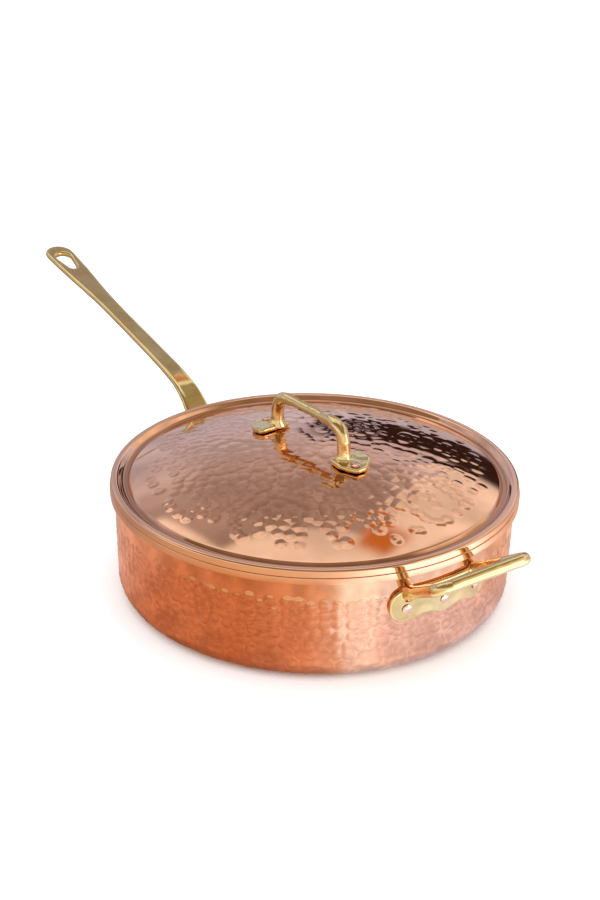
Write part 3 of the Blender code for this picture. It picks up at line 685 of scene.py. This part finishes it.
def strap_half_width(length):
    neck = HANDLE_NECK_WIDTH / 2
    root = (HANDLE_ROOT_WIDTH / 2 - neck) * math.exp(-max(length, 0) / HANDLE_ROOT_EASE)
    start = HANDLE_LENGTH - HANDLE_END_START
    widening = smooth_step((length - start) / (HANDLE_LENGTH - HANDLE_END_WIDTH / 2 - start))
    return neck + root + (HANDLE_END_WIDTH / 2 - neck) * widening


def build_long_handle():
    end_radius = HANDLE_END_WIDTH / 2
    end_centre = HANDLE_LENGTH - end_radius
    side = [(x, strap_half_width(x)) for x in np.arange(-1.0, end_centre, 2.0)]
    tip = arc_points((end_centre, 0), end_radius, -90, 90)
    outline = [(x, -y) for x, y in side] + tip + side[::-1]
    outer = (HANDLE_LENGTH - HOLE_SETBACK, 0)
    distance = HOLE_LENGTH - HOLE_OUTER - HOLE_INNER
    turn = math.degrees(math.acos((HOLE_INNER - HOLE_OUTER) / distance))
    hole = (arc_points(outer, HOLE_OUTER, -turn, turn)
            + arc_points((outer[0] - distance, 0), HOLE_INNER, turn, 360 - turn))
    slab = fused([slab_mesh([outline, hole], HANDLE_THICKNESS, HANDLE_ROUNDING)],
                 voxel=0.6, rounds=0)
    rows = strap_tops()

    def place(x, y, z):
        at = min(max(x / STRAP_STEP, 0.0), len(rows) - 1.001)
        low = int(at)
        radius, height, slope = rows[low] + (rows[low + 1] - rows[low]) * (at - low)
        extra = min(x, 0.0)
        lift = z - HANDLE_THICKNESS
        return (radius + extra * math.cos(slope) - lift * math.sin(slope), y,
                height + extra * math.sin(slope) + lift * math.cos(slope))
    mesh = fused([moved(slab, place), flange_mesh(0.0)], voxel=0.6, rounds=6)
    mesh = lumpy(mesh, "long_handle", size=14.0, height=0.16)
    add_piece("long_handle_brass", mesh, "pan", BRASS, ["long_handle"])


def build_helper_handle():
    tilt = math.radians(LOOP_TILT)
    root = math.sqrt(WALL_RADIUS ** 2 - LOOP_ROOT_HALF ** 2)
    loop = refined(rounded_path([
        (-LOOP_ROOT_HALF, LOOP_SUNK, 0),
        (-LOOP_HALF, LOOP_REACH, LOOP_CORNER),
        (LOOP_HALF, LOOP_REACH, LOOP_CORNER),
        (LOOP_ROOT_HALF, LOOP_SUNK, 0)], BAR_ARC_STEP), LOOP_STEP)
    points, radii = [], []
    for across, outwards in loop:
        points.append((-root - outwards * math.cos(tilt), across,
                       LOOP_ROOT + outwards * math.sin(tilt)))
        flare = 1 - smooth_step(outwards / LOOP_FLARE_LENGTH)
        radii.append(LOOP_BAR / 2 + LOOP_FLARE * flare)
    mesh = fused([bar_mesh(points, radii), flange_mesh(math.pi)], voxel=0.5, rounds=6)
    mesh = lumpy(mesh, "helper_handle", size=9.0, height=0.22)
    add_piece("helper_handle_brass", mesh, "pan", BRASS, ["helper_handle"])


def leg_place(side):
    x = BRIDGE_SHIFT[0] + side * BRIDGE_SPAN / 2
    y = BRIDGE_SHIFT[1]
    return Vector((x, y, dome_height(math.hypot(x, y))))


def foot_frame(side):
    """The frame of a foot: on the dome, upright to it, with X pointing away from the bridge."""
    place = leg_place(side)
    centre = Vector((0, 0, DOME_APEX - DOME_SPHERE))
    upright = Vector((0, 0, 1)).rotation_difference(place - centre).to_matrix().to_4x4()
    facing = Matrix.Rotation(0 if side > 0 else math.pi, 4, "Z")
    turn = Matrix.Rotation(math.radians(LID_TURN), 4, "Z")
    return turn @ Matrix.Translation(place * MM) @ upright @ facing


def build_lid_handle():
    half = BRIDGE_SPAN / 2
    feet = [leg_place(side).z + GAP + FOOT_THICKNESS / 2 for side in (-1, 1)]
    top = (feet[0] + feet[1]) / 2 - GAP - FOOT_THICKNESS / 2 + BRIDGE_HEIGHT
    path = refined(rounded_path([
        (-half, feet[0], 0), (-half, top, BRIDGE_CORNER),
        (half, top, BRIDGE_CORNER), (half, feet[1], 0)], BAR_ARC_STEP), BRIDGE_STEP)
    points, radii = [], []
    for along, height in path:
        points.append((BRIDGE_SHIFT[0] + along, BRIDGE_SHIFT[1], height))
        rise = height - min(feet)
        flare = 1 - smooth_step(rise / (BRIDGE_FLARE_LENGTH + FOOT_THICKNESS / 2))
        bar = smooth_step(1.25 * (1 - abs(along) / half))
        radii.append(BRIDGE_LEG / 2 + (BRIDGE_BAR - BRIDGE_LEG) / 2 * bar + BRIDGE_FLARE * flare)
    bridge = bar_mesh(points, radii)
    bridge.transform(Matrix.Rotation(math.radians(LID_TURN), 4, "Z"))
    near, far = FOOT_SKEW - FOOT_WIDTH / 2, FOOT_SKEW + FOOT_WIDTH / 2
    toe = FOOT_TOE_WIDTH / 2
    middle = (FOOT_INNER, FOOT_SKEW, 0)
    outline = rounded_path([
        middle,
        (FOOT_INNER, near, FOOT_CORNER),
        (FOOT_SHOULDER, near, FOOT_SHOULDER_CORNER),
        (FOOT_OUTER, FOOT_TOE_SKEW - toe, toe),
        (FOOT_OUTER, FOOT_TOE_SKEW + toe, toe),
        (FOOT_SHOULDER, far, FOOT_SHOULDER_CORNER),
        (FOOT_INNER, far, FOOT_CORNER),
        middle])[:-1]
    pieces = [bridge]
    for side in (1, -1):
        foot = slab_mesh([outline], FOOT_THICKNESS, FOOT_ROUNDING)
        foot.transform(foot_frame(side) @ Matrix.Translation((0, 0, GAP * MM)))
        pieces.append(foot)
    mesh = lumpy(fused(pieces, voxel=0.4, rounds=14), "lid_handle", size=6.0, height=0.45)
    add_piece("lid_handle_brass", mesh, "lid", BRASS, ["lid_handle"])


# ---- Rivets

def rivet_mesh(name, grip_top, grip_bottom):
    def cap(radius, rise):
        sphere = (radius ** 2 + rise ** 2) / (2 * rise)
        for i in range(RIVET_RINGS + 1):
            across = radius * i / RIVET_RINGS
            yield across, math.sqrt(sphere ** 2 - across ** 2) - sphere + rise
    head = [(x, grip_top + RIVET_EDGE + y)
            for x, y in cap(RIVET_HEAD / 2, RIVET_RISE - RIVET_EDGE)]
    tail = [(x, grip_bottom - RIVET_EDGE - y)
            for x, y in cap(RIVET_TAIL / 2, RIVET_TAIL_RISE - RIVET_EDGE)]
    shank = RIVET_SHANK / 2
    middle = [(RIVET_HEAD / 2, grip_top), (shank, grip_top), (shank, grip_bottom),
              (RIVET_TAIL / 2, grip_bottom)]
    return turned_mesh(name, head + middle + tail[::-1], around=RIVET_AROUND)


def add_rivet(name, frame_, grip_top, grip_bottom, body):
    mesh = rivet_mesh(name, grip_top, grip_bottom)
    mesh.transform(frame_)
    add_piece(f"{name}_copper", mesh, body, RIVET, [name])


def build_rivets():
    sag = (RIVET_TAIL / 2) ** 2 / (2 * WALL_RADIUS)
    bottom = -PAN_SHEET - GAP - LINING_SHEET - GAP - sag
    for prefix, azimuth in (("handle", 0.0), ("helper", math.pi)):
        for index in (-1, 0, 1):
            angle = azimuth + index * FLANGE_PITCH / WALL_RADIUS
            radius = wall_radius(FLANGE_RIVETS) * MM
            place = Vector((radius * math.cos(angle), radius * math.sin(angle), FLANGE_RIVETS * MM))
            outwards = Matrix.Rotation(math.pi / 2 + math.atan(WALL_TAPER), 4, "Y")
            frame_ = Matrix.Translation(place) @ Matrix.Rotation(angle, 4, "Z") @ outwards
            add_rivet(f"{prefix}_rivet_{index + 2}", frame_,
                      2 * GAP + FLANGE_THICKNESS, bottom, "pan")
    sag = (FOOT_RIVET + RIVET_TAIL / 2) ** 2 / (2 * DOME_SPHERE)
    bottom = -LID_SHEET - GAP - LINING_SHEET - GAP - sag
    shift = Matrix.Translation((FOOT_RIVET * MM, 0, 0))
    for number, side in ((1, 1), (2, -1)):
        add_rivet(f"lid_rivet_{number}", foot_frame(side) @ shift,
                  2 * GAP + FOOT_THICKNESS, bottom, "lid")


# ---- Studio

VIEW_TURN = math.radians(-127.0)    # azimuths below are as seen from the camera: 90 is away
FLOOR_REACH, FLOOR_DROP = 6.0, 0.0002       # in metres
FAR_LINE, FAR_LINE_SOFT, FAR_LINE_BEND = 0.2395, 0.007, 0.037


def studio_world():
    world = bpy.data.worlds.new("studio")
    bpy.context.scene.world = world
    world.use_nodes = True
    tree = world.node_tree
    nodes = Nodes(tree)
    background = tree.nodes["Background"]
    place = nodes.add("ShaderNodeTexCoord")
    turn = nodes.add("ShaderNodeVectorRotate", rotation_type="Z_AXIS", Angle=-VIEW_TURN)
    nodes.feed(turn.inputs["Vector"], place.outputs["Generated"])
    direction = turn.outputs["Vector"]
    parts = nodes.add("ShaderNodeSeparateXYZ")
    nodes.feed(parts.inputs["Vector"], direction)
    elevation = nodes.maths("MULTIPLY", nodes.maths("ARCSINE", parts.outputs["Z"]), DEGREES)
    azimuth = nodes.azimuth(parts)

    def panel(low_az, high_az, low_el, high_el, soft=1.0):
        return nodes.maths("MULTIPLY", nodes.between(azimuth, low_az, high_az, soft),
                           nodes.between(elevation, low_el, high_el, soft))

    colour = nodes.ramp(elevation, -90, 90, [
        (-90, (0.55, 0.50, 0.48)), (-2, (0.60, 0.62, 0.74)), (8, (0.62, 0.66, 0.86)),
        (27, (0.60, 0.62, 0.76)), (33, (0.50, 0.48, 0.55)), (44, (0.47, 0.44, 0.48)),
        (48, (0.42, 0.38, 0.40)), (57.5, (0.43, 0.39, 0.40)), (59.5, WHITE),
        (90, (1.05, 1.05, 1.05))])
    near_side = nodes.maths("SUBTRACT", 1.0, nodes.above(azimuth, 2, 6.0))
    near_colour = nodes.ramp(elevation, -90, 90, [
        (-90, (0.90, 0.85, 0.80)), (12, (1.05, 1.00, 0.98)), (24, (0.80, 0.74, 0.66)),
        (34, (0.30, 0.23, 0.17)), (60, (0.30, 0.23, 0.18)), (80, (0.40, 0.32, 0.26)),
        (88, WHITE), (90, (1.05, 1.05, 1.05))])
    colour = nodes.mix(near_side, colour, near_colour)
    colour = nodes.mix(panel(-16, 55, 44, 64, 3.0), colour, (0.42, 0.34, 0.24))
    colour = nodes.mix(panel(-32, 50, 16, 42, 4.0), colour, (0.95, 0.84, 0.70))
    colour = nodes.mix(panel(56, 73, 20, 75, 1.5), colour, WHITE)
    colour = nodes.mix(panel(122, 181, 40, 75, 1.5), colour, WHITE)
    colour = nodes.mix(1.0, colour, nodes.mottle(direction, 5.0, 0.80, 1.18, 3.0), "MULTIPLY")
    dark = nodes.maths("MULTIPLY", panel(62, 90, 5, 20, 2.0),
                       nodes.above(nodes.mottle(direction, 11.0, 0.0, 1.0), 0.06, 0.10))
    colour = nodes.mix(dark, colour, (0.035, 0.016, 0.012))
    colour = nodes.mix(panel(62, 74, 53, 62, 2.6), colour, (0.60, 0.22, 0.05))
    colour = nodes.mix(panel(-34, -10, 3, 18, 1.5), colour, (3.0, 3.0, 3.0))
    light = nodes.add("ShaderNodeLightPath")
    colour = nodes.mix(light.outputs["Is Diffuse Ray"], colour, (1.7, 1.7, 1.7))
    colour = nodes.mix(light.outputs["Is Camera Ray"], colour, WHITE)
    nodes.feed(background.inputs["Color"], colour)


def studio_floor():
    mesh = bpy.data.meshes.new("floor")
    corners = [(x * FLOOR_REACH, y * FLOOR_REACH, 0) for x, y in ((-1, -1), (1, -1), (1, 1), (-1, 1))]
    mesh.from_pydata(corners, [], [(0, 1, 2, 3)])
    floor = bpy.data.objects.new("floor", mesh)
    floor.location.z = -FLOOR_DROP
    bpy.context.scene.collection.objects.link(floor)
    material = bpy.data.materials.new("floor_paper_and_glow")
    material.use_nodes = True
    material.cycles.emission_sampling = "NONE"
    tree = material.node_tree
    nodes = Nodes(tree)
    paper = tree.nodes["Principled BSDF"]
    paper.inputs["Roughness"].default_value = 0.9
    paper.inputs["Specular IOR Level"].default_value = 0.0
    paper.inputs["Base Color"].default_value = (0.95, 0.95, 0.95, 1)
    geometry = nodes.add("ShaderNodeNewGeometry")
    turn = nodes.add("ShaderNodeVectorRotate", rotation_type="Z_AXIS", Angle=-VIEW_TURN)
    nodes.feed(turn.inputs["Vector"], geometry.outputs["Position"])
    parts = nodes.add("ShaderNodeSeparateXYZ")
    nodes.feed(parts.inputs["Vector"], turn.outputs["Vector"])
    azimuth = nodes.azimuth(parts)
    length = nodes.add("ShaderNodeVectorMath", operation="LENGTH")
    nodes.feed(length.inputs[0], geometry.outputs["Position"])
    radius = length.outputs["Value"]
    # painted reflections: glossy rays see the floor glow in these colours instead of its paper, with
    # bright patches standing in for light sources
    near = nodes.ramp(azimuth, -180, 180, [
        (-180, (0.76, 0.46, 0.36)), (-150, (0.66, 0.31, 0.18)), (-115, (0.64, 0.27, 0.13)),
        (-92, (0.80, 0.42, 0.27)), (-82, (0.95, 0.68, 0.55)), (-78, (1.25, 1.25, 1.35)),
        (-67, (1.25, 1.25, 1.38)), (-61, (0.98, 0.98, 1.15)), (-30, (0.98, 0.98, 1.15)),
        (0, (0.85, 0.60, 0.48)), (60, (0.85, 0.60, 0.48)), (120, (0.80, 0.60, 0.56)),
        (180, (0.76, 0.46, 0.36))])
    far = nodes.ramp(azimuth, -180, 180, [
        (-180, (0.50, 0.38, 0.30)), (-150, (0.72, 0.54, 0.38)), (-120, (0.88, 0.66, 0.40)),
        (-92, (0.98, 0.80, 0.58)), (-78, (1.15, 1.05, 0.92)), (-56, (2.2, 2.3, 2.5)),
        (-20, (2.2, 2.3, 2.5)), (-4, (1.2, 1.1, 1.0)), (14, (0.85, 0.62, 0.48)),
        (60, (0.70, 0.48, 0.36)), (120, (0.45, 0.37, 0.32)), (180, (0.50, 0.38, 0.30))])
    # painted contact shadow: the glow darkens next to the pan
    rise = nodes.ramp(radius, 0.13, 0.29, [
        (0.13, (0.45,) * 3), (0.15, (0.95,) * 3), (0.21, (1.05,) * 3), (0.26, (1.0, 1.12, 1.02))])
    near = nodes.mix(1.0, near, rise, "MULTIPLY")
    drift = nodes.mottle(geometry.outputs["Position"], 34.0, 0.84, 1.18)
    near = nodes.mix(1.0, near, drift, "MULTIPLY")
    # the far colours, mostly seen by the rim and the lid's edge, start beyond a line round the
    # pan that is nearer to it on the side away from the camera
    away = nodes.maths("DIVIDE", parts.outputs["Y"], radius)
    beyond = nodes.maths("ADD", radius, nodes.maths("MULTIPLY", FAR_LINE_BEND, away))
    share = nodes.above(beyond, FAR_LINE, FAR_LINE_SOFT)
    glow = nodes.add("ShaderNodeEmission")
    nodes.feed(glow.inputs["Color"], nodes.mix(share, near, far))
    light = nodes.add("ShaderNodeLightPath")
    either = nodes.add("ShaderNodeMixShader")
    nodes.feed(either.inputs[0], light.outputs["Is Glossy Ray"])
    nodes.feed(either.inputs[1], paper.outputs["BSDF"])
    nodes.feed(either.inputs[2], glow.outputs["Emission"])
    nodes.feed(tree.nodes["Material Output"].inputs["Surface"], either.outputs["Shader"])
    mesh.materials.append(material)


def studio_camera():
    """The camera solved from the photo's rim, base, lid and handles."""
    data = bpy.data.cameras.new("camera")
    data.lens = 64.44
    data.sensor_width = 36.0
    data.clip_start = 0.01
    camera = bpy.data.objects.new("camera", data)
    right = Vector((-0.58593, -0.81014, 0.01936))
    up = Vector((0.35163, -0.23265, 0.90677))
    back = right.cross(up).normalized()
    up = back.cross(right).normalized()
    camera.matrix_world = (Matrix.Translation((-0.81464, 0.61388, 0.57379))
                           @ Matrix((right, up, back)).transposed().to_4x4())
    bpy.context.scene.collection.objects.link(camera)
    bpy.context.scene.camera = camera


build_pan()
build_lid()
build_long_handle()
build_helper_handle()
build_lid_handle()
build_rivets()
studio_world()
studio_floor()
studio_camera()
bpy.context.scene.view_settings.view_transform = "Standard"
